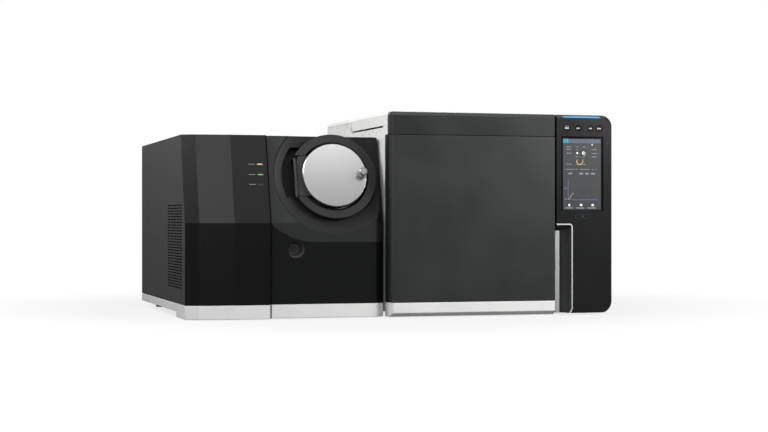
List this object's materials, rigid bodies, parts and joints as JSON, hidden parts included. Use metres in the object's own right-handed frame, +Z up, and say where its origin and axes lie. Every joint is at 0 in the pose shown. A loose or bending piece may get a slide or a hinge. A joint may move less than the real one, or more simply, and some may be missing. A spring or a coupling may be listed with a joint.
{
  "type": "gas chromatograph mass spectrometer",
  "caption": "Bench gas chromatograph with white sides, dark hinged oven door and touch panel, joined to a dark mass spectrometer with a round hinged vacuum door.",
  "frame": {"origin": "centre of the footprint's bounding box, on the surface the feet stand on", "axes": "+X to the viewer's right along the front, +Y to the back, +Z up"},
  "size_m": [0.948, 0.6838, 0.442],
  "materials": {
    "white_moulded_plastic": "fine-grain moulded white",
    "black_rubber": "moulded black rubber",
    "zinc_steel": "bright zinc-plated sheet",
    "white_painted_steel": "fine-texture white powder coat",
    "grey_painted_steel": "light grey powder coat",
    "ms_painted_steel": "fine-texture dark grey powder coat",
    "black_satin_plastic": "satin black moulding",
    "dark_door_plastic": "semi-gloss near-black moulding",
    "ms_cover_plastic": "satin above and glossy below",
    "stainless_sheet": "rolled stainless sheet",
    "stainless_wire": "drawn stainless",
    "ceramic_fibre": "off-white ceramic fibre",
    "heater_sheath": "heat-tinted sheath",
    "cast_motor": "painted cast motor",
    "amber_coated_silica": "amber coated capillary",
    "machined_steel": "machined stainless",
    "black_anodised": "black anodised",
    "brass": "machined brass",
    "grey_silicone": "grey silicone gasket",
    "satin_aluminium": "satin silver",
    "screen_glass": "flat glass over a display",
    "clear_light_bar": "clear moulded light guide",
    "chrome_strip": "bright plated strip",
    "circuit_board": "green board with parts",
    "key_plastic": "glossy black key",
    "light_lens": "small lit lens",
    "turned_aluminium": "fine turned and satin anodised",
    "cast_aluminium": "machined casting",
    "fan_plastic": "black moulded fan"
  },
  "bodies": {
    "instrument": {"base_strips": "white_moulded_plastic", "rubber_feet": "black_rubber", "gc_base_pan": "zinc_steel", "gc_left_panel": "white_painted_steel", "gc_right_panel": "white_painted_steel", "gc_rear_panel": "grey_painted_steel", "gc_top_cover": "white_painted_steel", "gc_top_deck": "white_painted_steel", "oven_front_frame": "black_satin_plastic", "oven_liner": "stainless_sheet", "oven_blanket": "ceramic_fibre", "oven_baffle": "stainless_sheet", "oven_heater": "heater_sheath", "fan_motor": "cast_motor", "column_coil": "amber_coated_silica", "column_cage": "stainless_wire", "injection_port": "machined_steel", "septum_nut": "black_anodised", "gas_fittings": "brass", "power_inlets": "black_satin_plastic", "hinge_pins": "machined_steel", "panel_housing": "dark_door_plastic", "touch_screen": "screen_glass", "light_bar": "clear_light_bar", "handle_trim": "chrome_strip", "control_board": "circuit_board", "ms_base_tray": "zinc_steel", "ms_front_cover_left": "ms_cover_plastic", "ms_front_cover_right": "ms_cover_plastic", "ms_side_cover": "ms_painted_steel", "ms_top_cover": "ms_painted_steel", "ms_rear_panel": "grey_painted_steel", "status_lights": "light_lens", "vacuum_chamber": "cast_aluminium", "ion_source": "machined_steel", "quadrupole_rods": "machined_steel", "detector": "machined_steel", "turbo_pump": "cast_aluminium", "transfer_line": "machined_steel", "ms_circuit_board": "circuit_board"},
    "oven_door": {"oven_door_panel": "dark_door_plastic", "oven_door_insulation": "ceramic_fibre", "oven_door_liner": "stainless_sheet", "oven_door_seal": "grey_silicone", "oven_door_handle": "satin_aluminium"},
    "top_lid": {"lid_cover": "white_painted_steel", "lid_front": "dark_door_plastic"},
    "oven_fan": {"oven_fan": "stainless_sheet"},
    "exhaust_flap": {"exhaust_flap": "grey_painted_steel"},
    "panel_button_1": {"panel_button_1": "key_plastic"},
    "panel_button_2": {"panel_button_2": "key_plastic"},
    "panel_button_3": {"panel_button_3": "key_plastic"},
    "panel_button_4": {"panel_button_4": "key_plastic"},
    "vacuum_door": {"vacuum_door": "turned_aluminium", "vacuum_door_hinge": "black_satin_plastic", "vacuum_door_seal": "black_rubber"},
    "vacuum_door_knob": {"vacuum_door_knob": "black_anodised"},
    "power_button": {"power_button": "key_plastic"},
    "turbo_rotor": {"turbo_rotor": "turned_aluminium"},
    "cooling_fan": {"cooling_fan": "fan_plastic"}
  },
  "joints": [
    {"name": "oven_door_hinge", "type": "hinge", "parent": "instrument", "child": "oven_door", "pos_m": [-0.02775, -0.33055, 0.211], "axis": [0, 0, -1], "range_deg": [0, 100]},
    {"name": "lid_hinge", "type": "hinge", "parent": "instrument", "child": "top_lid", "pos_m": [0.14925, -0.03555, 0.426], "axis": [-1, 0, 0], "range_deg": [0, 80]},
    {"name": "oven_fan_spin", "type": "hinge", "parent": "instrument", "child": "oven_fan", "pos_m": [0.14925, -0.09155, 0.21], "axis": [0, 1, 0], "continuous": true},
    {"name": "exhaust_flap_hinge", "type": "hinge", "parent": "instrument", "child": "exhaust_flap", "pos_m": [0.14925, 0.19975, 0.277], "axis": [1, 0, 0], "range_deg": [0, 60]},
    {"name": "vacuum_door_hinge", "type": "hinge", "parent": "instrument", "child": "vacuum_door", "pos_m": [-0.23325, -0.2889, 0.30038], "axis": [0, -0.2695, -0.963], "range_deg": [0, 110]},
    {"name": "vacuum_door_knob_turn", "type": "hinge", "parent": "vacuum_door", "child": "vacuum_door_knob", "pos_m": [-0.09175, -0.30254, 0.30731], "axis": [0, -0.963, 0.2695], "range_deg": [0, 90]},
    {"name": "turbo_spin", "type": "hinge", "parent": "instrument", "child": "turbo_rotor", "pos_m": [-0.15025, -0.01155, 0.132], "axis": [0, 0, 1], "continuous": true},
    {"name": "cooling_fan_spin", "type": "hinge", "parent": "instrument", "child": "cooling_fan", "pos_m": [-0.38375, 0.29845, 0.292], "axis": [0, 1, 0], "continuous": true},
    {"name": "power_button_press", "type": "slide", "parent": "instrument", "child": "power_button", "axis": [0, 1, 0], "range_m": [0, 0.002], "stiffness_N_per_m": 400},
    {"name": "panel_button_1_press", "type": "slide", "parent": "instrument", "child": "panel_button_1", "axis": [0, 1, 0], "range_m": [0, 0.0012], "stiffness_N_per_m": 300},
    {"name": "panel_button_2_press", "type": "slide", "parent": "instrument", "child": "panel_button_2", "axis": [0, 1, 0], "range_m": [0, 0.0012], "stiffness_N_per_m": 300},
    {"name": "panel_button_3_press", "type": "slide", "parent": "instrument", "child": "panel_button_3", "axis": [0, 1, 0], "range_m": [0, 0.0012], "stiffness_N_per_m": 300},
    {"name": "panel_button_4_press", "type": "slide", "parent": "instrument", "child": "panel_button_4", "axis": [0, 1, 0], "range_m": [0, 0.0012], "stiffness_N_per_m": 300}
  ]
}
